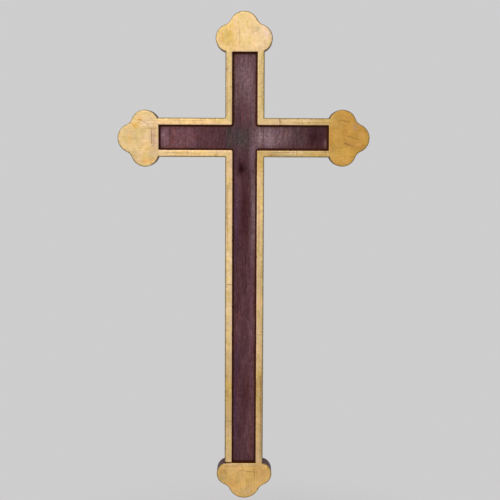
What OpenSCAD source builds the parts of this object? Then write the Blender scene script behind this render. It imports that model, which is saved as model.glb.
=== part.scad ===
// Flat latin cross with three-lobed ends, for hanging on a wall or a reredos.
// Two half-lapped core boards carry a lobed block dowelled to each end, and mitred
// border rails that frame a recessed painted field.
// The front faces -Y, the back lies in the plane Y = 0 and +Z is up.
// The origin is the centre of the keyhole's entry hole, in the plane of the back.

/* [Cross] */
// Width of the upright and of the crossbar
stem_w = 47.6; // [44:0.2:52]
// Thickness of the core boards
core_t = 19; // [17:0.5:24]
// From the centre of the crossing to the upper end of the upright
upper_reach = 104; // [100:1:130]
// From the centre of the crossing to the lower end of the upright
lower_reach = 411; // [340:1:480]
// From the centre of the crossing to the left end of the crossbar
left_reach = 106.2; // [90:0.2:130]
// From the centre of the crossing to the right end of the crossbar
right_reach = 103.4; // [90:0.2:130]

/* [Border rails] */
// Width of a rail
rail_w = 8.4; // [7:0.2:11]
// Height of a rail above the painted field
rail_t = 4.8; // [3.6:0.2:6]
// Radius worn on the corner where two rails are mitred
mitre_r = 2; // [0.5:0.1:3]
// Open joint between the lower left rail and the foot block
left_foot_gap = 0.8; // [0.1:0.1:1.5]
// Open joint between the lower right rail and the foot block
right_foot_gap = 0.3; // [0.1:0.1:1.5]

/* [Lobed ends] */
// Radius of the lobe at each tip
tip_r = 18.2; // [16:0.2:19]
// From the joint to the centre of the top block's tip lobe
top_tip_at = 31.4; // [30:0.2:36]
// From the joint to the centre of the left block's tip lobe
left_tip_at = 32.4; // [30:0.2:36]
// From the joint to the centre of the right block's tip lobe
right_tip_at = 32.2; // [30:0.2:36]
// Radius of each side lobe
side_r = 17.2; // [16:0.2:18]
// From the joint to the centres of the side lobes
side_at = 16.8; // [16:0.2:19]
// From the middle line to the centre of a side lobe
side_out = 17.8; // [16:0.2:20]
// Radius that fills the notch between two lobes
notch_r = 12; // [1:0.5:14]
// How far the top block sits off its board's middle line, to the right
top_shift = -1.1; // [-2:0.1:2]
// How far the left block sits off its board's middle line, upwards
left_shift = -1.3; // [-2:0.1:2]
// How far the right block sits off its board's middle line, upwards
right_shift = -0.3; // [-2:0.1:2]

/* [Foot block] */
// Radius of the foot block's tip lobe
foot_tip_r = 20.4; // [18:0.2:21]
// From the joint to the centre of the foot block's tip lobe
foot_tip_at = 25; // [24:0.2:30]
// Radius of the foot block's side lobes
foot_side_r = 15; // [14:0.2:17]
// From the joint to the centres of the foot block's side lobes
foot_side_at = 13.8; // [13:0.2:16]
// From the middle line to the centre of a foot side lobe
foot_side_out = 19.8; // [17:0.2:21]
// How far the foot block sits off its board's middle line, to the right
foot_shift = 0.6; // [-2:0.1:2]

/* [Dowels and pins] */
// Diameter of the dowels that hold the lobed blocks
dowel_d = 8; // [6:1:8]
// Length of a dowel, half of it in each piece
dowel_l = 40; // [30:2:40]
// Distance between the two dowels of a joint
dowel_pitch = 24; // [20:1:26]
// Diameter of the pins that hold the rails
pin_d = 1.2; // [1:0.1:1.6]
// Length of a pin under its head
pin_l = 15; // [12:0.5:16]
// Largest distance wanted between two pins of a rail
pin_pitch = 70; // [50:5:100]

/* [Hanger] */
// Height of the keyhole's entry above the centre of the crossing
hanger_rise = 60; // [56:1:62]
// Diameter of the keyhole's entry hole
entry_d = 9; // [8:0.5:10]
// Width of the slot above the entry hole
slot_w = 4.4; // [4:0.2:5]
// From the entry hole's centre to the slot's upper end centre
slot_rise = 10; // [8:0.5:11]
// Width of the hanger plate
plate_w = 16; // [14:0.5:18]
// Thickness of the hanger plate
plate_t = 1.6; // [1.2:0.1:2]
// Distance between the hanger plate's screws
screw_pitch = 34; // [33:0.5:38]
// Length of a hanger screw
screw_l = 12; // [10:0.5:14]

/* [Hidden] */

$fn = 96;
eps = 0.5;                         // how far a cutting shape passes the face it cuts
total_t = core_t + rail_t;
half_w = stem_w / 2;
field_half = half_w - rail_w;      // half the width of the painted field
cross_z = -hanger_rise;            // height of the crossing's centre
paint = [0.33, 0.18, 0.19];
gilt = [0.83, 0.68, 0.40];
beech = [0.80, 0.66, 0.47];
steel = [0.70, 0.70, 0.68];

// Each arm is drawn pointing up and turned about Y: [turn, reach].
TOP = [0, upper_reach];
RIGHT = [90, right_reach];
FOOT = [180, lower_reach];
LEFT = [-90, left_reach];

dowel_clear = 0.1;
dowel_fn = 48;

pin_set = 1;                       // how far a pin's head is set below the rail's face
pin_head_d = 2;
pin_head_t = 0.6;
pin_tip = 1.5;
pin_clear = 0.05;
pin_margin = 16;                   // from a rail's ends to its first and last pin
pin_fn = 24;

plate_mid = 4;                     // height of the hanger plate's centre
plate_clear = 0.1;
pocket_depth = 8;                  // room behind the plate for the head of the wall screw
pocket_side = 1;                   // that room's margin around the keyhole
screw_head_d = 5.6;
screw_head_t = 1.5;
screw_d = 2.8;
screw_tip = 2.5;
screw_slot = [0.9, 0.7];           // width and depth of the driver's slot
screw_clear = 0.1;

// Draws a flat outline, up being +Z, as a slab from Y = -start to Y = -(start + t).
module slab(t, start = 0) {
    translate([0, -start, 0]) rotate([90, 0, 0]) linear_extrude(height = t) children();
}

// Moves an arm drawn pointing up to its place about the crossing.
module on_arm(turn) {
    translate([0, 0, cross_z]) rotate([0, turn, 0]) children();
}

// Lobed outlines -----------------------------------------------------------

// Centre of a circle of radius r that touches circles (a, ra) and (b, rb) from outside,
// on the left of the way from a to b.
function touching(a, ra, b, rb, r) =
    let (
        ab = b - a,
        d = norm(ab),
        la = ra + r,
        lb = rb + r,
        along = (d * d + la * la - lb * lb) / (2 * d),
        off = sqrt(la * la - along * along)
    )
    a + ab * along / d + [-ab[1], ab[0]] * off / d;

// Fills the notch between the tip lobe and the side lobe on the right.
module notch_fill(side_c, rs, tip_c, rt) {
    c = touching(tip_c, rt, side_c, rs, notch_r);
    difference() {
        polygon([side_c, c, tip_c]);
        translate(c) circle(notch_r);
    }
}

// Outline of a lobed block, its joint on the line y = 0 and its tip upwards. The lobes
// are drawn off the middle line by shift, the joint's face isn't.
module lobed_outline(rt, tip_y, rs, side_y, out, shift) {
    intersection() {
        union() {
            translate([-half_w, 0]) square([stem_w, side_y]);
            translate([shift, 0]) {
                translate([0, tip_y]) circle(rt);
                polygon([[-out, side_y], [out, side_y], [0, tip_y]]);
                for (flip = [0, 1]) mirror([flip, 0]) {
                    translate([out, side_y]) circle(rs);
                    notch_fill([out, side_y], rs, [0, tip_y], rt);
                }
            }
        }
        translate([-2 * half_w, 0]) square([4 * half_w, tip_y + rt + eps]);
    }
}

// Dowels -------------------------------------------------------------------

// Places children at the two dowel centres in an arm's end joint.
module at_dowels(arm) {
    on_arm(arm[0]) for (x = [-1, 1] * dowel_pitch / 2) translate([x, -core_t / 2, arm[1]]) children();
}

module dowel_bores(arm) {
    at_dowels(arm)
        cylinder(d = dowel_d + 2 * dowel_clear, h = dowel_l + 2 * eps, center = true, $fn = dowel_fn);
}

// A dowel with a small chamfer at both ends.
module dowel() {
    chamfer = 0.8;
    body_l = dowel_l - 2 * chamfer;
    cylinder(d = dowel_d, h = body_l, center = true, $fn = dowel_fn);
    for (flip = [0, 1]) mirror([0, 0, flip]) translate([0, 0, body_l / 2])
        cylinder(d1 = dowel_d, d2 = dowel_d - 2 * chamfer, h = chamfer, $fn = dowel_fn);
}

// Pins ---------------------------------------------------------------------

function pin_count(reach) =
    max(2, round((reach - half_w - 2 * pin_margin) / pin_pitch) + 1);

// Places children on a rail's pin axes, their +Z pointing from the rail's face into the wood.
module at_pins(arm, side) {
    first = half_w + pin_margin;
    last = arm[1] - pin_margin;
    count = pin_count(arm[1]);
    on_arm(arm[0]) for (i = [0 : count - 1])
        translate([side * (half_w - rail_w / 2), -total_t, first + i * (last - first) / (count - 1)])
            rotate([-90, 0, 0]) children();
}

// The room a pin needs, in the rail and in the core.
module pin_bore() {
    r = pin_d / 2 + pin_clear;
    translate([0, 0, pin_set - pin_clear])
        cylinder(r = pin_head_d / 2 + pin_clear, h = pin_head_t + 2 * pin_clear, $fn = pin_fn);
    translate([0, 0, pin_set])
        cylinder(r = r, h = pin_head_t + pin_l + pin_clear, $fn = pin_fn);
}

// A headed pin, its head set below the rail's face.
module pin() {
    translate([0, 0, pin_set]) {
        cylinder(d = pin_head_d, h = pin_head_t, $fn = pin_fn);
        cylinder(d = pin_d, h = pin_head_t + pin_l - pin_tip, $fn = pin_fn);
        translate([0, 0, pin_head_t + pin_l - pin_tip])
            cylinder(d1 = pin_d, d2 = pin_d / 4, h = pin_tip, $fn = pin_fn);
    }
}

// Hanger -------------------------------------------------------------------

module keyhole_outline(margin = 0) {
    circle(d = entry_d + 2 * margin);
    translate([0, slot_rise]) circle(d = slot_w + 2 * margin);
    translate([-slot_w / 2 - margin, 0]) square([slot_w + 2 * margin, slot_rise]);
}

// The way of the wall screw's head behind the plate, as wide as the entry hole all along.
module head_way_outline(margin) {
    w = entry_d + 2 * margin;
    circle(d = w);
    translate([0, slot_rise]) circle(d = w);
    translate([-w / 2, 0]) square([w, slot_rise]);
}

// A plate with round ends, about the hanger plate's centre.
module plate_outline(margin = 0) {
    w = plate_w + 2 * margin;
    translate([0, plate_mid]) {
        translate([-w / 2, -screw_pitch / 2]) square([w, screw_pitch]);
        for (y = [-1, 1] * screw_pitch / 2) translate([0, y]) circle(d = w);
    }
}

// Places children on the hanger screws' axes, their +Z pointing into the wood.
module at_screws() {
    for (z = [-1, 1] * screw_pitch / 2) translate([0, 0, plate_mid + z]) rotate([90, 0, 0]) children();
}

// The room a screw needs; grow is its margin all round.
module screw_bore(grow) {
    translate([0, 0, -eps]) cylinder(d = screw_head_d + 2 * grow, h = eps);
    cylinder(d1 = screw_head_d + 2 * grow, d2 = screw_d + 2 * grow, h = screw_head_t);
    cylinder(d = screw_d + 2 * grow, h = screw_l + grow);
}

// A countersunk screw with a driver's slot.
module screw() {
    shank = screw_l - screw_tip;
    difference() {
        union() {
            cylinder(d1 = screw_head_d, d2 = screw_d, h = screw_head_t);
            cylinder(d = screw_d, h = shank);
            translate([0, 0, shank]) cylinder(d1 = screw_d, d2 = screw_d / 4, h = screw_tip);
        }
        translate([-screw_head_d, -screw_slot[0] / 2, -eps])
            cube([2 * screw_head_d, screw_slot[0], screw_slot[1] + eps]);
    }
}

// Sub-parts ----------------------------------------------------------------

// The long board; the crossing's lap is cut from its back.
module upright_core() color(paint) difference() {
    slab(core_t) translate([-half_w, cross_z - lower_reach]) square([stem_w, lower_reach + upper_reach]);
    translate([-half_w - eps, -core_t / 2, cross_z - half_w])
        cube([stem_w + 2 * eps, core_t / 2 + eps, stem_w]);
    for (arm = [TOP, FOOT]) {
        dowel_bores(arm);
        for (side = [-1, 1]) at_pins(arm, side) pin_bore();
    }
    slab(plate_t + eps, -eps) plate_outline(plate_clear);
    slab(pocket_depth + eps, -eps) head_way_outline(pocket_side);
    at_screws() screw_bore(pin_clear);
}

// The short board; the crossing's lap is cut from its front.
module crossbar_core() color(paint) difference() {
    slab(core_t) translate([-left_reach, cross_z - half_w]) square([left_reach + right_reach, stem_w]);
    translate([-half_w, -core_t - eps, cross_z - half_w - eps])
        cube([stem_w, core_t / 2 + eps, stem_w + 2 * eps]);
    for (arm = [LEFT, RIGHT]) {
        dowel_bores(arm);
        for (side = [-1, 1]) at_pins(arm, side) pin_bore();
    }
}

// A lobed block for one of the three short arms; shift is along the arm's own +X.
module trefoil(arm, tip_at, shift) color(gilt) difference() {
    on_arm(arm[0]) translate([0, 0, arm[1]]) slab(total_t)
        lobed_outline(tip_r, tip_at, side_r, side_at, side_out, shift);
    dowel_bores(arm);
}

module top_trefoil() trefoil(TOP, top_tip_at, top_shift);
module left_trefoil() trefoil(LEFT, left_tip_at, left_shift);
module right_trefoil() trefoil(RIGHT, right_tip_at, -right_shift);

// The foot block is shorter, with a broad tip.
module foot_trefoil() color(gilt) difference() {
    on_arm(FOOT[0]) translate([0, 0, FOOT[1]]) slab(total_t)
        lobed_outline(foot_tip_r, foot_tip_at, foot_side_r, foot_side_at, foot_side_out, -foot_shift);
    dowel_bores(FOOT);
}

// A border rail on one side of an arm; gap is the open joint at its outer end.
module rail(arm, side, gap = 0) color(gilt) difference() {
    on_arm(arm[0]) slab(rail_t, core_t) on_side(side) difference() {
        polygon([
            [field_half, field_half], [half_w, half_w],
            [half_w, arm[1] - gap], [field_half, arm[1] - gap]
        ]);
        translate([field_half, field_half]) difference() {
            translate([-eps, -eps]) square(mitre_r + eps);
            translate([mitre_r, mitre_r]) circle(mitre_r);
        }
    }
    at_pins(arm, side) pin_bore();
}

// Keeps an outline drawn on the right, or mirrors it to the left.
module on_side(side) {
    mirror([side < 0 ? 1 : 0, 0]) children();
}

module rail_top_left() rail(TOP, -1);
module rail_top_right() rail(TOP, 1);
module rail_foot_left() rail(FOOT, 1, left_foot_gap);
module rail_foot_right() rail(FOOT, -1, right_foot_gap);
module rail_left_upper() rail(LEFT, 1);
module rail_left_lower() rail(LEFT, -1);
module rail_right_upper() rail(RIGHT, -1);
module rail_right_lower() rail(RIGHT, 1);

// Two dowels in each of the four end joints.
module end_dowels() color(beech) for (arm = [TOP, RIGHT, FOOT, LEFT]) at_dowels(arm) dowel();

// All the pins that hold the rails.
module rail_pins() color(steel)
    for (arm = [TOP, RIGHT, FOOT, LEFT]) for (side = [-1, 1]) at_pins(arm, side) pin();

// The plate let in flush with the back, with the keyhole that the cross hangs by.
module hanger_plate() color(steel) difference() {
    slab(plate_t) plate_outline();
    slab(plate_t + 2 * eps, -eps) keyhole_outline();
    at_screws() screw_bore(screw_clear);
}

module hanger_screws() color(steel) at_screws() screw();

upright_core();
crossbar_core();
top_trefoil();
left_trefoil();
right_trefoil();
foot_trefoil();
rail_top_left();
rail_top_right();
rail_foot_left();
rail_foot_right();
rail_left_upper();
rail_left_lower();
rail_right_upper();
rail_right_lower();
end_dowels();
rail_pins();
hanger_plate();
hanger_screws();
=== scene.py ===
import math
from functools import cache

import bmesh
import bpy
import numpy as np
from mathutils import Matrix, Vector, noise
from mathutils.geometry import delaunay_2d_cdt


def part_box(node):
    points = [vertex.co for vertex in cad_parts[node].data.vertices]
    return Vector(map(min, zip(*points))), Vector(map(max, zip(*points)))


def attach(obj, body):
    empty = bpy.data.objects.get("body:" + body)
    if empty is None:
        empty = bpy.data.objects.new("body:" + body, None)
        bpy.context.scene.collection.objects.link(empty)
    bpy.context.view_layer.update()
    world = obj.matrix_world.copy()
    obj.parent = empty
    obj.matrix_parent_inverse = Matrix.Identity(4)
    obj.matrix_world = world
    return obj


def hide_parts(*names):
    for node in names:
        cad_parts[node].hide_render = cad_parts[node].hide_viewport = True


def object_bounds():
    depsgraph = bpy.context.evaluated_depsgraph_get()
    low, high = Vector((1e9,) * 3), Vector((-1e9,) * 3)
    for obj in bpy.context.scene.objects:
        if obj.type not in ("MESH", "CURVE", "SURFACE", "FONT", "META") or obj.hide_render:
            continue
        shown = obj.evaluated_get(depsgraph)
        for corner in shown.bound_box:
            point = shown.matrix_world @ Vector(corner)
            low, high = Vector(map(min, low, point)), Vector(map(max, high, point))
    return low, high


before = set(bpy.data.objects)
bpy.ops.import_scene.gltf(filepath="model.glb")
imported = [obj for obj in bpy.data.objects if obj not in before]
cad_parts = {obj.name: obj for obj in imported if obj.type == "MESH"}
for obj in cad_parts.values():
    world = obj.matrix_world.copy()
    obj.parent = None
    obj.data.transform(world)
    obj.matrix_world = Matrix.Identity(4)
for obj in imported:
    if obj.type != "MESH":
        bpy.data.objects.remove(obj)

# The shapes are worked out in millimetres about the crossing's centre: x to the right, z up, and y from the
# plane of the back (0) to the front, which is negative. Blender's objects are in metres in the row's frame.

CAD_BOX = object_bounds()
MM = 0.001
SEED = 7

BOARD_LOW, BOARD_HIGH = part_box("upright_core")
ARM_LOW, ARM_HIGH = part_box("crossbar_core")
CROSS_Z = (ARM_LOW.z + ARM_HIGH.z) / 2  # metres, in the row's frame
HALF_W = BOARD_HIGH.x / MM  # half the width of both boards
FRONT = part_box("top_trefoil")[0].y / MM  # the gilded faces
FIELD = BOARD_LOW.y / MM  # the painted field
FIELD_HALF = -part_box("rail_top_left")[1].x / MM  # half the width of the field
TOP_END, FOOT_END = ((z - CROSS_Z) / MM for z in (BOARD_HIGH.z, BOARD_LOW.z))
LEFT_END, RIGHT_END = ARM_LOW.x / MM, ARM_HIGH.x / MM

# The gilded pieces, and the leaf tone that each has. The tones are partly painted light: the deep tone of the
# right block and the duller tones of the upper and right-hand rails stand for the light falling off across
# the cross and the gold reflecting less of it there.
GROUND = {
    "top_trefoil": "cream", "left_trefoil": "wheat", "right_trefoil": "deep", "foot_trefoil": "gilt",
    "rail_top_left": "sand", "rail_top_right": "sand", "rail_foot_left": "straw", "rail_foot_right": "straw",
    "rail_left_upper": "straw", "rail_left_lower": "straw",
    "rail_right_upper": "wheat", "rail_right_lower": "sand",
}
BLOCKS = [node for node in GROUND if node.endswith("trefoil")]
BOARDS = {"upright_core": "z", "crossbar_core": "x"}  # and the axis each runs along


# Outlines --------------------

WELD = 3e-7  # metres: corners of the CAD closer than this are one
TOUCH = 1e-7  # metres: the same for the pieces made here
FLAT = 0.002  # how far off a plane a corner of it may be
CORNER_ROOM = 2.2  # no point of an outline is this close to its corners
CLOSEST = 0.01  # points of an outline this close are one point
OUTLINE_STEP = 0.8  # from point to point of an outline
BESIDE = 0.15  # how far past an edge its neighbour is looked for
FAR = 1e3  # farther than anything in the cross
MOST_PAIRS = 2_000_000  # of points and segments worked out at once


def welded(data, distance):
    """A mesh to work on, with the corners that lie closer than distance made one."""
    mesh = bmesh.new()
    mesh.from_mesh(data)
    bmesh.ops.remove_doubles(mesh, verts=mesh.verts, dist=distance)
    return mesh


def face_outline(node, y):
    """The outline of a CAD node's flat face at y, as (x, z) points, counter-clockwise seen from the front."""
    mesh = welded(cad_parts[node].data, WELD)
    following = {}
    for face in mesh.faces:
        if all(abs(v.co.y / MM - y) < FLAT for v in face.verts):
            for loop in face.loops:
                others = [f for f in loop.edge.link_faces if f is not face]
                if any(abs(v.co.y / MM - y) >= FLAT for f in others for v in f.verts):
                    following[loop.vert] = loop.link_loop_next.vert
    start = next(iter(following))
    ring = [start]
    while following[ring[-1]] is not start:
        ring.append(following[ring[-1]])
    outline = np.array([(v.co.x / MM, (v.co.z - CROSS_Z) / MM) for v in ring])
    mesh.free()
    return outline


def subdivided(outline, step):
    """The same outline with no stretch much longer than step, and a point wherever the field's edges meet it.

    The points next to a corner keep CORNER_ROOM off it, so that rounding an edge can't fold it over."""
    points = []
    for a, b in zip(outline, np.roll(outline, -1, 0)):
        length = np.linalg.norm(b - a)
        stops = [0.0, length]
        is_long = length > 3 * CORNER_ROOM
        if is_long:
            stops += [CORNER_ROOM, length - CORNER_ROOM]
            for axis in (0, 1):
                for edge in (-FIELD_HALF, FIELD_HALF):
                    if abs(b[axis] - a[axis]) > 0.99 * length:
                        stops.append((edge - a[axis]) * length / (b[axis] - a[axis]))
        stops = sorted(s for s in stops if s in (0, length) or CORNER_ROOM <= s <= length - CORNER_ROOM)
        for low, high in zip(stops, stops[1:]):
            if high - low < CLOSEST:
                continue
            in_corner = is_long and (low == 0 or high == length)
            count = 1 if in_corner else max(1, round((high - low) / step))
            points += [a + (b - a) * (low + (high - low) * i / count) / length for i in range(count)]
    return np.array(points)


def directions(outline):
    """Unit vectors from each point of a closed outline to the next."""
    along = np.roll(outline, -1, 0) - outline
    return along / np.linalg.norm(along, axis=1)[:, None]


def inside(outline, points):
    """Which points lie inside a closed outline."""
    found = np.zeros(len(points), bool)
    x, z = points[:, 0], points[:, 1]
    for (ax, az), (bx, bz) in zip(outline, np.roll(outline, -1, 0)):
        if az != bz:
            crosses = (az > z) != (bz > z)
            found ^= crosses & (x < ax + (bx - ax) * (z - az) / (bz - az))
    return found


def distance(points, starts, ends):
    """Each point's distance to the nearest of some line segments."""
    nearest = np.full(len(points), FAR)
    along = ends - starts
    length2 = (along ** 2).sum(1)
    for some in np.array_split(np.arange(len(points)), 1 + len(points) * len(starts) // MOST_PAIRS):
        way = points[some, None] - starts
        t = np.clip((way * along).sum(2) / length2, 0, 1)
        nearest[some] = np.sqrt(((way - t[..., None] * along) ** 2).sum(2)).min(1)
    return nearest


OUTLINES = {node: subdivided(face_outline(node, FRONT), OUTLINE_STEP) for node in GROUND}


def edge_kinds(node):
    """For each stretch of a gilded piece's outline: joint, where it meets another one, field or outer."""
    outline = OUTLINES[node]
    along = directions(outline)
    past = (outline + np.roll(outline, -1, 0)) / 2 + BESIDE * np.c_[along[:, 1], -along[:, 0]]
    kinds = np.full(len(outline), "outer", dtype=object)
    on_upright = (abs(past[:, 0]) < HALF_W) & (past[:, 1] > FOOT_END) & (past[:, 1] < TOP_END)
    on_crossbar = (abs(past[:, 1]) < HALF_W) & (past[:, 0] > LEFT_END) & (past[:, 0] < RIGHT_END)
    kinds[on_upright | on_crossbar] = "field"
    for other in OUTLINES:
        if other != node:
            kinds[inside(OUTLINES[other], past)] = "joint"
    return kinds


KINDS = {node: edge_kinds(node) for node in OUTLINES}


def all_edges(kind):
    """(starts, ends) of the straight runs of one kind, over all the gilded pieces."""
    runs = []
    for node, outline in OUTLINES.items():
        for a, b, along, found in zip(outline, np.roll(outline, -1, 0), directions(outline), KINDS[node]):
            if found != kind:
                continue
            if runs and np.allclose(runs[-1][1], a) and along @ runs[-1][2] > 0.999999:
                runs[-1][1] = b
            else:
                runs.append([a, b, along])
    return np.array([r[0] for r in runs]), np.array([r[1] for r in runs])


OUTER_EDGES, FIELD_EDGES = all_edges("outer"), all_edges("field")


# Hand-made unevenness --------------------

def rough(points, size, seed=0.0):
    """Smooth noise from 0 to 1 at (x, z) points, with lumps of about size."""
    values = [noise.noise(Vector((x / size, z / size, SEED + seed))) for x, z in points]
    return np.clip(0.5 + 0.6 * np.array(values), 0, 1)


# How far a surface lies inside its true place, as layers of lumps: (height, size, seed)
FACE_DIP = [(0.10, 17, 1), (0.03, 4.5, 2)]  # the gilded faces: the gesso was rubbed down by hand
EDGE_WANDER = [(0.14, 19, 3), (0.06, 5, 4)]  # the sawn and filed edges
FIELD_DIP = [(0.11, 15, 6), (0.03, 5, 7)]  # the painted field


def spot(points, x, z, wide, high):
    """1 in the middle of a soft oval spot and less away from it, at (x, z) points."""
    return np.exp(-(((points - (x, z)) / (wide, high)) ** 2).sum(1))


def lumps(points, layers):
    """The height of layers of lumps at (x, z) points."""
    return sum(height * rough(points, size, seed) for height, size, seed in layers)


NICK_COUNT = 46
NICK_RADII = (0.9, 2.4)
NICK_DEPTHS = (0.12, 0.38)


def nicks():
    """Small knocks on the arrises: (x, z, radius, depth)."""
    draw = np.random.default_rng(SEED)
    starts = np.vstack([OUTLINES[n][KINDS[n] != "joint"] for n in OUTLINES])
    chosen = draw.choice(len(starts), NICK_COUNT, replace=False)
    return [(*starts[i], draw.uniform(*NICK_RADII), draw.uniform(*NICK_DEPTHS)) for i in sorted(chosen)]


NICKS = nicks()


def nick_depth(points):
    """How deep the knocks have gone in at (x, z) points."""
    depth = np.zeros(len(points))
    for x, z, radius, deepest in NICKS:
        near = 1 - ((points - (x, z)) ** 2).sum(1) / radius ** 2
        depth = np.maximum(depth, deepest * np.clip(near, 0, 1) ** 2)
    return depth


# Carved and gilded pieces --------------------

ARRIS = {"outer": 0.8, "field": 0.5, "joint": 0.0}  # radius of the rounded front edge
BACK_ARRIS = {"outer": 0.6, "field": 0.0, "joint": 0.0}
RAIL_COAT = 0.34  # gesso that builds the rails' outer edges out
# The same on the edges along the field: below zero it is rubbed away
FIELD_COAT = {"rail_foot_left": 0.30, "rail_foot_right": 0.30, "rail_right_lower": -0.35,
              "rail_top_left": -0.25, "top_trefoil": -0.3}


SHARP_TURN = 0.25  # sine of the turn that makes a corner sharp


def shift(normals, values):
    """How far each outline point moves for its two stretches to move inwards by their own values."""
    before, after = np.roll(normals, 1, 0), normals
    a, b = np.roll(values, 1), values
    cross = before[:, 0] * after[:, 1] - before[:, 1] * after[:, 0]
    middle = before + after
    middle *= ((a + b) / (middle ** 2).sum(1))[:, None]
    sharp = abs(cross) > SHARP_TURN
    meeting = np.c_[a * after[:, 1] - b * before[:, 1], b * before[:, 0] - a * after[:, 0]]
    middle[sharp] = meeting[sharp] / cross[sharp, None]
    return middle


ROW_SHARE = 0.866  # rows of a triangular grid, as a share of its step
EDGE_ROOM = 0.55  # the grid's distance from the ring, the same way


def filled(ring, step):
    """(points, triangles) that fill a ring, its own points first, with evenly spread points inside it."""
    low, high = ring.min(0), ring.max(0)
    xs = np.arange(low[0], high[0], step)
    zs = np.arange(low[1], high[1], step * ROW_SHARE)
    grid = np.array([(x + (row % 2) * step / 2, z) for row, z in enumerate(zs) for x in xs]).reshape(-1, 2)
    grid = grid[inside(ring, grid)]
    grid = grid[distance(grid, ring, np.roll(ring, -1, 0)) > EDGE_ROOM * step]
    points = np.vstack([ring, grid])
    edges = [(i, (i + 1) % len(ring)) for i in range(len(ring))]
    made = delaunay_2d_cdt([Vector(p) for p in points], edges, [], 1, 1e-6)
    sources = [source[0] if source else None for source in made[3]]
    triangles = [tuple(sources[i] for i in face) for face in made[2]]
    triangles = [t for t in triangles if None not in t and len(set(t)) == 3]
    middles = np.array([points[list(t)].mean(0) for t in triangles])
    kept = inside(ring, middles)
    return points, [t for t, keep in zip(triangles, kept) if keep]


def facing_front(points, triangle):
    """A triangle's corners, in the order that makes it face the front."""
    a, b, c = (points[i] for i in triangle)
    turn = (b[0] - a[0]) * (c[1] - a[1]) - (b[1] - a[1]) * (c[0] - a[0])
    return triangle if turn > 0 else triangle[::-1]


ARRIS_ANGLES = [90, 62, 36, 14, 0]  # from the face round to the wall
FACE_STEP = 1.5  # of the grid on the gilded faces
BACK_STEP = 6.0  # of the grid on the backs
WALL_STEP = 2.6  # from ring to ring down a wall
WALL_DIP, WALL_LUMP = 0.10, 6  # unevenness of the walls, and its size
SEAM = 0.15  # eased lower edge of a rail, against its board
KNOCK_IN, KNOCK_BACK = 0.8, 0.6  # shares of a knock's depth, into the edge and the face
LEAST_ROUND = 0.3  # keeps a knock's direction from being divided by zero


def wall_dip(x, y, z):
    """How far a wall lies inside its true place at one point."""
    return WALL_DIP * (0.5 + 0.5 * noise.noise(Vector((x / WALL_LUMP, y / WALL_LUMP, z / WALL_LUMP))))


def at_corners(values):
    """For each outline point the larger value of its two stretches."""
    return np.maximum(values, np.roll(values, 1))


def carved_rings(node, back):
    """The rings of points from a gilded piece's front face round to its back, and each ring's heights."""
    outline = OUTLINES[node]
    along = directions(outline)
    normals = np.c_[-along[:, 1], along[:, 0]]
    is_block = node in BLOCKS
    by_kind = lambda table: np.array([table[k] for k in KINDS[node]], float)
    radius = by_kind(ARRIS)
    round_in = shift(normals, radius)
    lower = by_kind(BACK_ARRIS) if is_block else SEAM * (by_kind(ARRIS) > 0)
    lower_in = shift(normals, lower)
    radius, lower = at_corners(radius), at_corners(lower)
    free = (KINDS[node] != "joint").astype(float)
    outer_coat = 0.0 if is_block else RAIL_COAT
    coat = by_kind({"outer": outer_coat, "field": FIELD_COAT.get(node, 0.0), "joint": 0.0})
    base = outline + shift(normals, free * lumps(outline, EDGE_WANDER) - coat)

    rings, heights = [], []
    dip = lumps(base, FACE_DIP)
    inwards = round_in / np.maximum(np.linalg.norm(round_in, axis=1), LEAST_ROUND)[:, None]
    for angle in map(math.radians, ARRIS_ANGLES):
        ring = base + round_in * (1 - math.cos(angle))
        knock = nick_depth(ring) * at_corners(free)
        rings.append(ring + KNOCK_IN * knock[:, None] * inwards)
        heights.append(FRONT + dip + radius * (1 - math.sin(angle)) + KNOCK_BACK * knock)
    top, bottom = heights[-1], back - lower
    rows = max(2, round((back - FRONT) / WALL_STEP))
    for row in range(1, rows):
        level = top + (bottom - top) * row / rows
        dips = np.array([wall_dip(x, y, z) for (x, z), y in zip(base, level)])
        rings.append(base + shift(normals, dips * free))
        heights.append(level)
    for angle in map(math.radians, [0, 45, 90] if is_block else [0, 90]):
        rings.append(base + lower_in * (1 - math.cos(angle)))
        heights.append(back - lower * (1 - math.sin(angle)))
    return rings, heights


def carved(node, back):
    """A gilded piece with a softened, uneven front edge, as (vertices, faces)."""
    rings, heights = carved_rings(node, back)
    count, last = len(rings[0]), len(rings) - 1
    vertices = [(x, y, z) for ring, level in zip(rings, heights) for (x, z), y in zip(ring, level)]
    faces = []
    for a in range(0, last * count, count):
        for i in range(count):
            j = (i + 1) % count
            faces.append((a + i, a + count + i, a + count + j, a + j))

    def close(number, step, heights_of):
        """The faces, facing the front, that fill a ring; heights_of gives the heights of points inside it."""
        points, triangles = filled(rings[number], step)
        extra, start, first = points[count:], len(vertices), number * count
        vertices.extend((x, y, z) for (x, z), y in zip(extra, heights_of(extra)))
        at = lambda i: first + i if i < count else start + i - count
        return [tuple(at(i) for i in facing_front(points, t)) for t in triangles]

    front = lambda extra: FRONT + lumps(extra, FACE_DIP) + KNOCK_BACK * nick_depth(extra)
    faces += close(0, FACE_STEP, front)
    faces += [face[::-1] for face in close(last, BACK_STEP, lambda extra: [back] * len(extra))]
    return vertices, faces


def placed(name, data):
    """A new object in the scene."""
    made = bpy.data.objects.new(name, data)
    bpy.context.scene.collection.objects.link(made)
    return made


SMOOTH_TO = math.radians(48)  # a sharper edge than this stays sharp


def new_piece(name, vertices, faces):
    """A mesh object from points in millimetres about the crossing."""
    mesh = bpy.data.meshes.new(name)
    mesh.from_pydata([(x * MM, y * MM, z * MM + CROSS_Z) for x, y, z in vertices], [], faces)
    piece = placed(name, mesh)
    clean = welded(mesh, TOUCH)
    bmesh.ops.dissolve_degenerate(clean, edges=clean.edges, dist=TOUCH)
    clean.to_mesh(mesh)
    clean.free()
    mesh.shade_smooth()
    mesh.set_sharp_from_angle(angle=SMOOTH_TO)
    return piece


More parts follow.
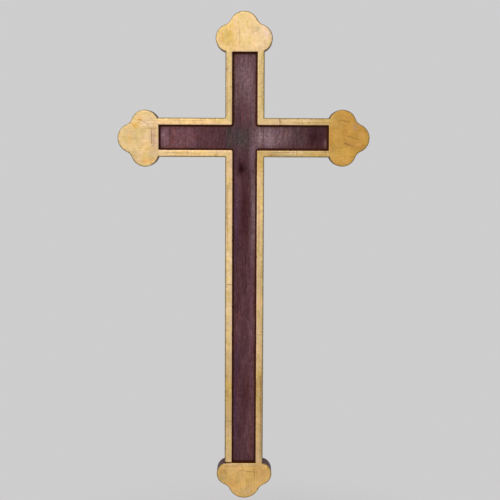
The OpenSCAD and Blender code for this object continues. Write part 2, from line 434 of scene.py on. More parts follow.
def places(piece):
    """A piece's vertices in millimetres about the crossing."""
    co = np.empty(len(piece.data.vertices) * 3)
    piece.data.vertices.foreach_get("co", co)
    return (co.reshape(-1, 3) - (0, 0, CROSS_Z)) / MM


def set_values(piece, name, values):
    attribute = piece.data.attributes.new(name, "FLOAT", "POINT")
    attribute.data.foreach_set("value", np.asarray(values, np.float32))


def set_coat(piece, colours):
    rgba = np.c_[colours, np.ones(len(colours))].astype(np.float32)
    attribute = piece.data.attributes.new("coat", "FLOAT_COLOR", "POINT")
    attribute.data.foreach_set("color", rgba.ravel())


# Tones of the finishes --------------------

LEAF = {
    "cream": (0.81, 0.585, 0.30), "straw": (0.84, 0.60, 0.31), "wheat": (0.77, 0.56, 0.295),
    "sand": (0.70, 0.525, 0.245), "honey": (0.95, 0.655, 0.30), "pearl": (0.94, 0.70, 0.385),
    "lemon": (0.70, 0.53, 0.225), "ochre": (0.74, 0.49, 0.135), "gilt": (0.88, 0.565, 0.20),
    "amber": (0.74, 0.44, 0.11), "deep": (0.63, 0.35, 0.08), "orange": (0.84, 0.46, 0.14),
    "rose": (0.86, 0.64, 0.48), "clay": (0.51, 0.33, 0.225), "tan": (0.75, 0.44, 0.165),
    "dun": (0.68, 0.455, 0.155), "olive": (0.46, 0.38, 0.165),
}
# Patches of another leaf tone: (x, z, half-width, half-height, tone, strength). Most are the leaf's own
# patchiness; the long patches on the rails are partly painted light, and the thin strip along the foot
# block's top edge is a painted highlight.
LEAF_PATCHES = [
    # top block
    (-22, 124, 8, 14, "ochre", 1.0), (-24, 122, 3, 12, "lemon", 0.7), (-28, 121, 2.5, 5, "orange", 0.6),
    (24, 126, 10, 12, "rose", 0.8), (0, 112, 5, 4, "lemon", 0.9), (15.5, 132, 2.5, 4, "olive", 0.5),
    (-5, 146, 4, 7, "lemon", 0.6), (4, 128, 6, 6, "rose", 0.3), (-12, 112, 5, 6, "gilt", 0.5),
    (10, 112, 6, 5, "pearl", 0.6),
    # left block
    (-134, 14, 4.5, 3.5, "amber", 1.2), (-129, 22, 4, 3, "amber", 0.8), (-120, 18, 7, 5, "rose", 0.8),
    (-112, 0, 4, 14, "clay", 0.9), (-108, 0, 3, 12, "rose", 0.25), (-119, -29, 9, 3, "orange", 0.8),
    (-142, 0, 3, 8, "orange", 0.45), (-134, -4, 7, 7, "lemon", 0.6), (-129, 8, 7, 5, "lemon", 1.0),
    (-130, 10, 5, 4, "clay", 0.12), (-121, -10, 7, 7, "honey", 0.5), (-147, 0, 4, 9, "lemon", 0.5),
    # right block
    (122, -20, 12, 11, "amber", 0.9), (113, -2, 4, 14, "amber", 0.9), (141, -8, 4, 2.5, "orange", 1.0),
    (136, 14, 3.5, 3.5, "clay", 0.6), (147, 2, 4, 8, "amber", 0.6), (143, 5, 3, 4, "orange", 0.5),
    # foot block
    (23, -424, 5, 6, "tan", 0.9), (-27, -421, 3, 5, "orange", 0.5), (-16, -436, 4, 4, "orange", 0.4),
    (-7, -435, 3, 3, "olive", 0.4), (-27, -431, 5, 4, "olive", 0.5), (3, -448, 11, 6, "honey", 0.7),
    # the thin cream patch at z -413, along the foot block's top edge, is a painted highlight
    (-10, -440, 8, 5, "orange", 0.4), (0, -413, 24, 1.5, "cream", 0.8), (15, -419, 4, 5, "amber", 0.3),
    # rails: these long patches make stretches of the rails brighter or duller, partly as painted light and
    # shade
    (-63, 20, 26, 8, "honey", 0.9), (-62, -20, 26, 8, "honey", 0.7), (97, 20, 16, 8, "dun", 0.8),
    (30, -20, 12, 7, "dun", 0.8), (62, -20, 16, 7, "wheat", 0.8), (50, 20, 26, 8, "straw", 0.7),
    (20, -32, 8, 14, "dun", 1.1), (-20, -322, 8, 30, "dun", 0.85), (20, -322, 8, 34, "dun", 0.9),
    (-20, -175, 8, 60, "pearl", 1.0), (-20, -215, 8, 50, "pearl", 0.9), (-20, 60, 8, 16, "straw", 0.5),
    (-20, -30, 8, 14, "straw", 0.6), (20, -80, 8, 22, "honey", 0.7), (20, -150, 8, 36, "sand", 0.6),
    (-20, -394, 8, 22, "honey", 0.55), (17.4, -374, 2.0, 34, "orange", 0.4),
    (22.5, -385, 2.2, 24, "lemon", 0.5), (-30, -20, 9, 7, "sand", 0.6), (-94, -20, 10, 7, "sand", 0.5),
    (92, -20, 16, 7, "dun", 1.0), (31, -20, 10, 7, "clay", 0.35),
]
# The paint's tones. The three palest, greyish ones are not tones of the paint: they are painted sheen,
# reflections of the lamp.
PAINT = {
    "plum": (0.088, 0.033, 0.040), "wine": (0.053, 0.0125, 0.0145), "ink": (0.034, 0.0062, 0.0085),
    "violet": (0.084, 0.032, 0.060), "ruby": (0.150, 0.058, 0.068), "grey_sheen": (0.200, 0.108, 0.118),
    "pale_sheen": (0.285, 0.175, 0.190), "orchid": (0.270, 0.128, 0.160), "smoke": (0.068, 0.039, 0.039),
}
# Patches on the field of each board, in the same form; the ground is plum. Beside the paint's own mottling
# and dark spot, most are painted light: pale grey sheen patches painted as reflections of the lamp in the
# glossy paint, lighter bands down the right of the stem and bluish ones down its left, and arms painted
# bright at the left end and beside the crossing and dark at the right end.
PAINT_PATCHES = {
    "upright_core": [
        (1, 74, 14, 27, "grey_sheen", 0.95), (0, 77, 4, 8, "ruby", 0.5), (-10, 80, 4, 14, "grey_sheen", 0.6),
        (-11, 96, 4.5, 7, "ruby", 0.8), (8, 50, 6, 10, "grey_sheen", 0.3), (-10, 50, 4, 10, "grey_sheen", 0.45),
        (10, 96, 4, 8, "grey_sheen", 0.5), (0, 26, 4, 8, "grey_sheen", 0.35), (10, 36, 5, 26, "grey_sheen", 0.5),
        (-6, 0, 16, 14, "smoke", 1.4), (-19, 0, 5, 16, "smoke", 1.4), (14, 0, 5, 12, "grey_sheen", 0.6),
        (20, 0, 4, 14, "pale_sheen", 0.8), (10, -24, 4, 12, "grey_sheen", 1.0), (-4.6, -38.7, 4.2, 7.5, "ink", 2.0),
        (11.5, -95, 3.5, 70, "pale_sheen", 0.62), (0, -95, 6, 48, "wine", 1.1),
        (-11, -90, 3.5, 66, "violet", 1.0), (10.5, -215, 4.5, 62, "ruby", 0.8),
        (-1, -170, 6, 20, "plum", 0.6), (-8, -244, 8, 18, "ruby", 0.45), (10.5, -340, 4, 66, "ruby", 0.7),
        (0, -322, 6, 22, "wine", 0.55), (-11, -330, 3, 62, "violet", 1.0), (2, -285, 5, 12, "ruby", 0.2),
        (11, -242, 4, 16, "grey_sheen", 0.4), (1, -370, 4, 24, "ruby", 0.25), (-11, -62, 3.5, 26, "grey_sheen", 0.25),
        (10.5, -394, 4, 12, "ruby", 0.6),
    ],
    "crossbar_core": [
        (-99, 0, 5, 14, "orchid", 0.95), (-92, 3, 2, 12, "wine", 0.5), (-82, 0, 13, 40, "ruby", 1.0),
        (-85, 0, 8, 40, "orchid", 0.22), (-68, 0, 12, 34, "ruby", 1.1), (-45, 2, 9, 12, "wine", 0.35),
        (-29, 0, 6, 16, "wine", 0.3), (-46, 0, 8, 30, "ruby", 0.25), (28, 0, 12, 14, "pale_sheen", 1.0),
        (48, 2, 15, 13, "grey_sheen", 0.65), (66, 2, 9, 14, "smoke", 0.6), (86, 1, 9, 14, "ink", 1.0),
        (99, 0, 5, 14, "wine", 1.1), (101, -8, 2.0, 6, "grey_sheen", 0.9),
    ],
}


PATCH_ENDS = 0.02  # share of a patch's strength at which it stops
PATCH_LEAST, PATCH_MORE, PATCH_LUMP = 0.55, 0.9, 4.5  # how raggedly it varies, and in lumps of what size


def tones(ground, patches, palette, points):
    """The colour of a finish at (x, z) points: its ground, with ragged oval patches."""
    tone = np.tile(palette[ground], (len(points), 1))
    for x, z, wide, high, name, strength in patches:
        near = spot(points, x, z, wide, high)
        some = near > PATCH_ENDS
        ragged = PATCH_LEAST + PATCH_MORE * rough(points[some], PATCH_LUMP, x)
        share = np.clip(near[some] * ragged, 0, 1) * strength
        tone[some] += (np.array(palette[name]) - tone[some]) * share[:, None]
    return tone


# Where the gilding is worn and cracked most: (x, z, half-width, half-height, strength)
WEAR = [
    (23, -352, 3.5, 52, 0.7), (-23.5, -84, 2.5, 24, 0.8), (-20, -375, 6, 26, 0.3), (127, -3, 12, 9, 0.35),
    (-124, 19, 7, 5, 0.4), (43, 20, 2.5, 6, 0.8), (-24, -425, 9, 8, 0.5), (20, -300, 6, 20, 0.4),
    (120, 22, 8, 5, 0.3), (98, -20, 6, 6, 0.5), (-22, 84, 3, 16, 0.4), (3, -420, 16, 8, 0.3),
]


def worn(points):
    """How worn the leaf is at (x, z) points, from 0 to 1."""
    return np.clip(sum(strength * spot(points, *oval) for *oval, strength in WEAR), 0, 1)


# Drawn lines in the leaf of each piece, where sheets lap or a crack runs: (x, z, x, z, strength)
LINES = {
    "top_trefoil": [(-6, 104, -7, 132, 0.5), (-30, 113, 24, 109, 0.15), (4, 134, 13, 122, 0.3)],
    "left_trefoil": [(-115, 11, -115, -8, 1.0), (-124, 11, -108, 11, 0.9), (-129, 21.5, -118, 15, 1.0)],
    "right_trefoil": [(123, -6.5, 133, -9.8, 1.2), (118, 22, 129, 19.5, 1.1), (126, 2.4, 139, -1.6, 1.1)],
    "foot_trefoil": [(-24, -415, -8, -415.4, 0.8), (-5, -420.6, 14, -422.6, 0.9), (13, -419, 14, -434, 0.7)],
    "rail_right_upper": [(43, 16, 43.6, 24, 1.2), (71, 16, 70, 24, 0.6), (60, 18, 100, 18.4, 0.8)],
    "rail_right_lower": [(64, -16, 64.5, -24, 1.0), (36, -18.6, 62, -18, 0.9), (30, -21.6, 60, -21, 0.8)],
    "rail_left_upper": [(-52, 16, -53, 24, 0.6), (-90, 21, -50, 20.6, 0.6), (-80, 16, -80, 24, 0.5)],
    "rail_left_lower": [(-34, -16, -33, -24, 0.6), (-95, -19, -60, -19.6, 0.7), (-70, -16, -71, -24, 0.5)],
    "rail_top_left": [(-21.4, 30, -20.8, 96, 0.7), (-16, 62, -24, 61, 0.5), (-18, 84, -18.4, 40, 0.4)],
    "rail_top_right": [(16, 50, 24, 51, 0.5), (21.2, 40, 20.8, 98, 0.6), (18, 88, 18.3, 62, 0.4)],
    "rail_foot_left": [(-16, -183, -24, -182, 1.2), (-21.2, -60, -20.6, -140, 0.7),
                       (-16, -357, -24, -356, 0.8)],
    "rail_foot_right": [(21.2, -300, 20.8, -404, 1.2), (16, -246, 24, -246, 0.8), (17.8, -60, 18, -140, 0.7)],
}


LINE_FADE = 1.5  # how far past its ends a drawn line dies away


def along_line(line, points):
    """(signed distance to a drawn line, how much of its strength is left here) at (x, z) points."""
    ax, az, bx, bz, strength = line
    length = math.hypot(bx - ax, bz - az)
    ux, uz = (bx - ax) / length, (bz - az) / length
    wayx, wayz = points[:, 0] - ax, points[:, 1] - az
    run = wayx * ux + wayz * uz
    past = np.maximum(-run, run - length)
    return wayx * -uz + wayz * ux, strength * np.clip(1 - past / LINE_FADE, 0, 1)


def mark_edges(piece, flat):
    """Keeps each point's distances to the gilding's outer edge and to its edge along the field."""
    set_values(piece, "outer", distance(flat, *OUTER_EDGES))
    set_values(piece, "inner", distance(flat, *FIELD_EDGES))


JOINT_MIDDLE = 0.4  # of the open joint, above the foot block
NO_JOINT = 9.0  # what the points away from the open joint hold as their distance to it


def gilded(node):
    """The visible piece that stands for a gilded CAD node."""
    back = 0.0 if node in BLOCKS else FIELD
    piece = new_piece("gilded_" + node, *carved(node, back))
    flat = places(piece)[:, [0, 2]]
    mark_edges(piece, flat)
    set_values(piece, "wear", worn(flat))
    # The distance to the open joint over the foot block, where shade is painted on the left of the field
    from_joint = abs(flat[:, 1] - FOOT_END - JOINT_MIDDLE)
    set_values(piece, "open_joint", np.where(flat[:, 0] < -FIELD_HALF, from_joint, NO_JOINT))
    set_coat(piece, tones(GROUND[node], LEAF_PATCHES, LEAF, flat))
    for count, line in enumerate(LINES[node]):
        off, strength = along_line(line, flat)
        set_values(piece, f"line_{count}", off)
        set_values(piece, f"line_{count}_on", strength)
    on_arm = node.startswith(("left", "right", "rail_left", "rail_right"))
    piece.data.materials.append(gilding("level" if on_arm else "upright"))
    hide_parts(node)
    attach(piece, "root")


# Painted boards --------------------

BOARD_WELD = 2e-7  # metres: corners of a board closer than this are one
BOARD_EASE = 0.6  # rounding of the boards' long back edges
LAP_EASE = 0.12  # the hairline at the crossing's lap
EASED_FROM = 0.5  # radians: flatter edges aren't eased
ON_EDGE = 0.01  # how far off an edge a corner of it may be
ACROSS_STEP, ALONG_STEP, DEEP_STEP = 3.4, 4.6, 6.2  # how finely a board is cut
SHORE = 2.4  # from the field's walls to the first cut
CUT_ROOM = 0.45  # share of a step kept clear on each side of such a cut
DIP_FADES = 2  # the field is true at its walls, and uneven from here
SIDE_DEEP, SIDE_BEHIND = 0.7, 0.5  # what counts as a side: near it, and behind the field
SIDE_SHARE, SIDE_LUMP = 0.0016, 9  # unevenness of the sides, and its size
BOARD_SMOOTH_TO = math.radians(40)


def cut_places(low, high, step, exact):
    """Evenly spread places from low to high, and the exact ones that must be among them."""
    found = [p for p in exact if low < p < high]
    for p in np.arange(low + step, high - step / 2, step):
        if all(abs(p - q) > CUT_ROOM * step for q in exact):
            found.append(float(p))
    return sorted(found)


def ease(mesh, on_edge, offset, segments):
    """Bevels the edges whose two ends are on_edge, a test of a place about the crossing."""
    about = lambda v: (v.co - Vector((0, 0, CROSS_Z))) / MM
    edges = [e for e in mesh.edges if len(e.link_faces) == 2 and e.calc_face_angle(0) > EASED_FROM
             and all(on_edge(about(v)) for v in e.verts)]
    bmesh.ops.bevel(mesh, geom=edges, offset=offset * MM, offset_type="OFFSET", segments=segments,
                    profile=0.5, affect="EDGES", clamp_overlap=True)


def cut_finely(mesh, upright):
    """Cuts a board in all three directions, so that it can be uneven and coloured point by point."""
    walls = [s * (FIELD_HALF - d) for s in (-1, 1) for d in (0, SHORE)]
    corners = [s * (FIELD_HALF + d) for s in (-1, 1) for d in (-SHORE, 0, SHORE)]
    low, high = (FOOT_END, TOP_END) if upright else (LEFT_END, RIGHT_END)
    across = cut_places(-HALF_W, HALF_W, ACROSS_STEP, walls)
    along = cut_places(low, high, ALONG_STEP, [low + SHORE, high - SHORE] + corners)
    deep = cut_places(FIELD, 0, DEEP_STEP, [])
    right, up = Vector((1, 0, 0)), Vector((0, 0, 1))
    for normal, cuts in ((right if upright else up, across), (up if upright else right, along),
                         (Vector((0, 1, 0)), deep)):
        for place in cuts:
            point = normal * place * MM + Vector((0, 0, CROSS_Z))
            geometry = mesh.verts[:] + mesh.edges[:] + mesh.faces[:]
            bmesh.ops.bisect_plane(mesh, geom=geometry, dist=TOUCH, plane_co=point, plane_no=normal)


def roughen(piece, upright):
    """Makes a board's field and sides uneven. Returns its points' true (x, z) places."""
    at = places(piece)
    flat = at[:, [0, 2]]
    on_field = np.clip(distance(flat, *FIELD_EDGES) / DIP_FADES, 0, 1) * (at[:, 1] < FIELD + ON_EDGE)
    at[:, 1] += on_field * lumps(flat, FIELD_DIP)
    across = 0 if upright else 2
    side = (abs(at[:, across]) > HALF_W - SIDE_DEEP) & (at[:, 1] > FIELD + SIDE_BEHIND)
    uneven = np.array([noise.noise(Vector((x / SIDE_LUMP, y / SIDE_LUMP, z / SIDE_LUMP))) for x, y, z in at])
    at[side, across] *= 1 - SIDE_SHARE * (1 + uneven[side])
    piece.data.vertices.foreach_set("co", (at * MM + (0, 0, CROSS_Z)).ravel())
    piece.data.update()
    return flat


def painted_board(node, along):
    """The visible board that stands for a CAD core: its true shape, cut finely and roughened."""
    upright = along == "z"
    lap_y = 0 if upright else FIELD
    near = lambda value, place: abs(value - place) < ON_EDGE
    across = lambda p: p.x if upright else p.z
    run = lambda p: p.z if upright else p.x
    mesh = welded(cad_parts[node].data, BOARD_WELD)
    ease(mesh, lambda p: near(abs(across(p)), HALF_W) and near(p.y, 0), BOARD_EASE, 3)
    ease(mesh, lambda p: near(abs(run(p)), HALF_W) and near(p.y, lap_y), LAP_EASE, 1)
    cut_finely(mesh, upright)

    data = bpy.data.meshes.new("painted_" + node)
    mesh.to_mesh(data)
    mesh.free()
    piece = placed("painted_" + node, data)
    flat = roughen(piece, upright)
    data.shade_smooth()
    data.set_sharp_from_angle(angle=BOARD_SMOOTH_TO)
    mark_edges(piece, flat)
    set_coat(piece, tones("plum", PAINT_PATCHES[node], PAINT, flat))
    data.materials.clear()
    data.materials.append(painting("upright" if upright else "level"))
    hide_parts(node)
    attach(piece, "root")


# Materials --------------------

class Shading:
    """A material, and short ways to make the nodes that drive its shader."""

    def __init__(self, name):
        self.material = bpy.data.materials.new(name)
        self.material.use_nodes = True
        self.tree = self.material.node_tree
        self.tree.nodes.clear()
        # The place on the object, in millimetres
        self.at = self.scaled(self.made("ShaderNodeTexCoord", {}, "Object"), 1 / MM)

    def feed(self, socket, value):
        if isinstance(value, bpy.types.NodeSocket):
            self.tree.links.new(value, socket)
        else:
            socket.default_value = value

    def made(self, kind, inputs, output=0, **settings):
        """An output of a new node with these settings, and with its inputs fed by number or name."""
        node = self.tree.nodes.new(kind)
        for name, value in settings.items():
            setattr(node, name, value)
        for name, value in inputs.items():
            self.feed(node.inputs[name], value)
        return node.outputs[output] if node.outputs else None

    def math(self, operation, a, b=0.0, clamp=False):
        return self.made("ShaderNodeMath", {0: a, 1: b}, operation=operation, use_clamp=clamp)

    def plus(self, a, b):
        return self.math("ADD", a, b)

    def minus(self, a, b):
        return self.math("SUBTRACT", a, b)

    def times(self, a, b, clamp=False):
        return self.math("MULTIPLY", a, b, clamp)

    def larger(self, a, b):
        return self.math("MAXIMUM", a, b)

    def vector(self, operation, a, b):
        return self.made("ShaderNodeVectorMath", {0: a, 1: b}, operation=operation)

    def scaled(self, vector, factor):
        """A colour or another vector times a number."""
        return self.made("ShaderNodeVectorMath", {0: vector, "Scale": factor}, operation="SCALE")

    def axis(self, name, vector=None):
        """One coordinate of a vector, or of the place."""
        return self.made("ShaderNodeSeparateXYZ", {0: self.at if vector is None else vector}, name)

    def value(self, name, output="Fac"):
        """A number, or as output "Color" a colour, that the mesh holds for each point."""
        return self.made("ShaderNodeAttribute", {}, output, attribute_name=name)

    def stretched(self, sizes, seed=0.0):
        """The place divided by sizes along x, y and z, or by one size along all three."""
        moved = self.vector("ADD", self.at, (seed, seed * 1.7, seed * 0.6))
        return self.vector("DIVIDE", moved, sizes if isinstance(sizes, tuple) else (sizes,) * 3)

    def noise(self, sizes, detail=4.0, roughness=0.6, distortion=0.0, seed=0.0, scale=1.0, output="Fac"):
        inputs = {"Vector": self.stretched(sizes, seed), "Scale": scale, "Detail": detail,
                  "Roughness": roughness, "Distortion": distortion}
        return self.made("ShaderNodeTexNoise", inputs, output, noise_dimensions="3D")

    def cracks(self, sizes, width, seed=0.0, wander=0.6):
        """1 along the borders of irregular cells, falling to 0 at width from them."""
        bend = self.noise(sizes, detail=3, roughness=0.5, seed=seed, scale=1.6, output="Color")
        bent = self.vector("ADD", self.stretched(sizes, seed), self.scaled(bend, wander))
        cells = {"Vector": bent, "Scale": 1.0}
        border = self.made("ShaderNodeTexVoronoi", cells, "Distance", feature="DISTANCE_TO_EDGE")
        return self.smooth(border, width, 0.0)

    def smooth(self, value, low, high, to_low=0.0, to_high=1.0):
        """to_low at low, to_high at high, and a soft step between them."""
        inputs = dict(enumerate((value, low, high, to_low, to_high)))
        return self.made("ShaderNodeMapRange", inputs, interpolation_type="SMOOTHSTEP", clamp=True)

    # A Mix node's inputs 2 and 3 and its output 0 hold numbers, its inputs 6 and 7 and its output 2 colours

    def blend(self, share, a, b):
        """Between the numbers a and b."""
        return self.made("ShaderNodeMix", {0: share, 2: a, 3: b}, 0, data_type="FLOAT")

    def mix(self, share, a, b, way="MIX"):
        """Between the colours a and b."""
        a, b = ((*colour, 1.0) if isinstance(colour, tuple) else colour for colour in (a, b))
        return self.made("ShaderNodeMix", {0: share, 6: a, 7: b}, 2, data_type="RGBA", blend_type=way)

    def tinted(self, share, colour, factors):
        """A colour, or where share is 1 that colour times three factors."""
        return self.mix(share, colour, self.mix(1.0, colour, factors, "MULTIPLY"))

    def raise_by(self, height, distance_mm, strength):
        """The normal of a surface with fine relief: height 1 stands distance_mm out of it."""
        inputs = {"Height": height, "Distance": distance_mm * MM, "Strength": strength}
        return self.made("ShaderNodeBump", inputs)

    def show(self, surface):
        """The finished material, with this shader as its surface."""
        self.made("ShaderNodeOutputMaterial", {"Surface": surface})
        return self.material

    def finish(self, colour, roughness, normal, metallic=0.0, specular=0.5):
        return self.show(self.made("ShaderNodeBsdfPrincipled", {
            "Base Color": colour, "Roughness": roughness, "Normal": normal,
            "Metallic": metallic, "Specular IOR Level": specular}))


BURGUNDY = (0.096, 0.019, 0.024)
BURGUNDY_DARK = (0.038, 0.007, 0.010)
STAINED_WOOD = (0.170, 0.058, 0.034)
STAINED_DARK = (0.055, 0.016, 0.011)
BOLE = (0.33, 0.115, 0.045)
# A dark brown used as painted shade in the recess walls and the open joint, and along the field's edges as a
# dark glaze line that is partly painted shade
GLAZE_AND_SHADE_BROWN = (0.056, 0.011, 0.0022)
# Olive for grime along the gilded rim, also used there as painted shade
RIM_OLIVE = (0.27, 0.20, 0.085)
CRACK_BROWN = (0.17, 0.088, 0.030)
RUBBED_PAINT = (0.26, 0.105, 0.050)
REDDER_PAINT = (0.17, 0.042, 0.038)
PIT_DARK = (0.026, 0.005, 0.006)
BLUSH_ENDS = (-380, -330)  # the leaf's blush is faint below the first z, and full above the second
LOW_GLOSS = 0.09  # specular level of old, waxed paint


def grain_sizes(grain, long, fine):
    """Sizes for a noise stretched along the grain."""
    return (fine, fine, long) if grain == "upright" else (long, fine, fine)


def back_and_sides(s, grain):
    """The ungilded wood: brushed burgundy paint on the sides, a thin wash over bare grain on the back.

    Returns (colour, roughness, height of the relief)."""
    y = s.axis("Y")
    streaks = s.noise(grain_sizes(grain, 60, 1.3), detail=5, seed=11)
    pores = s.noise(grain_sizes(grain, 9, 0.22), detail=3, seed=17)
    figure = s.noise(grain_sizes(grain, 110, 7), detail=3, roughness=0.5, distortion=0.8, seed=5)
    rings = s.math("PINGPONG", s.times(figure, 9.0), 0.5)
    wood = s.mix(s.smooth(rings, 0.05, 0.5), STAINED_DARK, STAINED_WOOD)
    for pattern, low, high, most, over in (
            (streaks, 0.35, 0.7, 0.45, STAINED_DARK), (pores, 0.58, 0.72, 0.6, BURGUNDY_DARK),
            (s.noise(22, seed=31), 0.4, 0.7, 0.5, BURGUNDY)):
        wood = s.mix(s.smooth(pattern, low, high, 0.0, most), wood, over)
    paint = s.mix(s.smooth(streaks, 0.3, 0.7), BURGUNDY_DARK, BURGUNDY)
    redder = s.noise(9, detail=5, roughness=0.55, seed=41)
    paint = s.mix(s.smooth(redder, 0.55, 0.8, 0.0, 0.5), paint, REDDER_PAINT)
    # The paint is rubbed through along the back edge
    rubbed = s.plus(y, s.times(s.noise(6, detail=5, roughness=0.65, seed=47), 2.6))
    paint = s.mix(s.smooth(rubbed, 0.55, 0.95, 0.0, 0.8), paint, RUBBED_PAINT)
    ragged = s.noise(7, detail=5, seed=23)
    lapped = s.plus(s.value("outer"), s.times(ragged, -7.0))
    on_back = s.times(s.smooth(y, -0.45, -0.12), s.smooth(lapped, -0.9, -0.2))
    colour = s.mix(on_back, paint, wood)
    painted, bare = s.smooth(streaks, 0.3, 0.7, 0.36, 0.50), s.smooth(pores, 0.4, 0.7, 0.62, 0.80)
    roughness = s.blend(on_back, painted, bare)
    height = s.plus(s.times(streaks, 0.6), s.times(pores, -0.5))
    return colour, roughness, height


def drawn_lines(s, wobble):
    """The darkness of a piece's own drawn lines, and the step in tone across the first of them."""
    total = 0.0
    for count in range(3):
        off = s.plus(s.value(f"line_{count}"), wobble)
        line = s.smooth(s.math("ABSOLUTE", off), 0.55, 0.15)
        total = s.larger(total, s.times(line, s.value(f"line_{count}_on")))
    side = s.smooth(s.plus(s.value("line_0"), wobble), -0.2, 0.2)
    step = s.times(side, s.smooth(s.math("ABSOLUTE", s.value("line_0")), 7.0, 0.5))
    return total, s.times(step, s.value("line_0_on"))


@cache
def gilding(grain):
    """Worn gold leaf over red bole and gesso on the front, painted wood elsewhere, with painted shade on the
    walls facing the field, along the rim and at the open joint.
    """
    s = Shading("gilding_" + grain)
    wood, wood_rough, wood_height = back_and_sides(s, grain)
    y = s.axis("Y")
    outer, inner, wear = s.value("outer"), s.value("inner"), s.value("wear")

    clouds = s.noise(13, detail=5, distortion=0.5, seed=3)
    mottle = s.noise(3.2, detail=5, roughness=0.65, distortion=0.4, seed=7)
    fine = s.noise(0.8, detail=3, seed=9)
    brushed = s.noise(grain_sizes(grain, 24, 1.3), seed=13)
    gold = s.scaled(s.value("coat", "Color"), s.smooth(clouds, 0.28, 0.74, 0.90, 1.09))
    blotches = s.noise(grain_sizes(grain, 13, 5.5), roughness=0.55, distortion=1.2, seed=61)
    for pattern, low, high, most, factors in (
            (blotches, 0.50, 0.66, 0.9, (0.93, 0.95, 0.72)), (blotches, 0.47, 0.33, 0.9, (1.06, 1.03, 1.15)),
            (mottle, 0.42, 0.78, 0.7, (0.84, 0.76, 0.55)), (brushed, 0.48, 0.72, 0.7, (0.86, 0.79, 0.62)),
            (brushed, 0.46, 0.30, 0.5, (1.05, 1.06, 1.16))):
        gold = s.tinted(s.smooth(pattern, low, high, 0.0, most), gold, factors)

    # The leaf is rosier along the field, where the bole shows through it, and yellower along the rim
    blushed = s.plus(s.smooth(inner, 3.0, 0.6), s.times(s.minus(mottle, 0.5), 0.8))
    rosy = s.smooth(s.axis("Z"), *BLUSH_ENDS, 0.10, 0.50)
    gold = s.tinted(s.times(s.smooth(blushed, 0.2, 0.9), rosy), gold, (1.05, 1.00, 1.32))
    gold = s.tinted(s.smooth(outer, 3.4, 1.0, 0.0, 0.45), gold, (0.92, 0.93, 0.80))
    # Drawn lines: laps of the leaf and single cracks
    wobble = s.times(s.minus(s.noise(4, roughness=0.55, seed=19), 0.5), 1.6)
    line, step = drawn_lines(s, wobble)
    line = s.times(line, s.smooth(fine, 0.30, 0.55, 0.45, 1.0), clamp=True)
    gold = s.tinted(s.times(step, 0.6), gold, (1.03, 0.98, 1.16))
    gold = s.mix(s.times(line, 0.78), gold, CRACK_BROWN)
    # Fine cracks in the gesso, most of them where it is worn
    crazed = s.plus(s.smooth(s.noise(11, detail=2, roughness=0.55, seed=71), 0.45, 0.65, 0.0, 0.7), wear)
    crackle = s.times(s.cracks(2.7, 0.06, seed=77), crazed, clamp=True)
    across = s.times(s.cracks((15, 15, 4.5), 0.035, seed=83, wander=0.35), s.smooth(wear, 0.1, 0.6))
    cracked = s.larger(crackle, across)
    gold = s.mix(s.times(cracked, 0.48), gold, CRACK_BROWN)
    # Bole in specks, and as rubbed places where it is worn
    rubbed = s.plus(s.plus(mottle, s.times(fine, 0.45)), s.times(wear, 0.26))
    specks = s.smooth(rubbed, 0.86, 1.02)
    gold = s.mix(s.times(specks, 0.62), gold, BOLE)
    # Grime gathers along the rim; this dark olive rim also stands in as painted shade along the outer edges
    grime_and_edge_shade = s.minus(s.minus(outer, s.times(mottle, 2.1)), s.times(wear, 0.5))
    gold = s.mix(s.smooth(grime_and_edge_shade, 0.60, -0.35, 0.0, 0.92), gold, RIM_OLIVE)
    # Painted shade of the open joint over the foot block, on the left of the field: the gold is darkened to
    # within about 1 mm of the joint's middle
    gold = s.mix(s.smooth(s.value("open_joint"), 1.05, 0.65, 0.0, 0.9), gold, GLAZE_AND_SHADE_BROWN)

    ragged = s.times(s.minus(fine, 0.5), 0.5)
    painted = s.smooth(s.plus(s.minus(y, FRONT), ragged), 0.34, 0.52)
    # The walls facing the field, above its level, are dark brown: painted shade in the recess between the
    # gilding and the field
    facing_field = s.smooth(s.minus(inner, outer), 0.3, -0.3)
    above_field = s.smooth(y, FIELD + 1.6, FIELD + 0.8)
    wall = s.mix(s.times(facing_field, above_field), wood, GLAZE_AND_SHADE_BROWN)
    colour = s.mix(painted, gold, wall)
    dulled = s.larger(painted, s.larger(specks, s.times(cracked, 0.6)))
    shine = s.smooth(clouds, 0.3, 0.75, 0.38, 0.52)
    roughness = s.blend(painted, s.plus(shine, s.times(fine, 0.08)), wood_rough)
    relief = s.minus(s.times(step, 0.25), s.times(s.larger(cracked, line), 0.8))
    for pattern, share in ((fine, 0.35), (mottle, 0.5), (brushed, 0.5)):
        relief = s.plus(relief, s.times(pattern, share))
    height = s.blend(painted, relief, wood_height)
    return s.finish(colour, roughness, s.raise_by(height, 0.10, 0.7),
                    metallic=s.blend(dulled, 0.80, 0.0), specular=LOW_GLOSS)


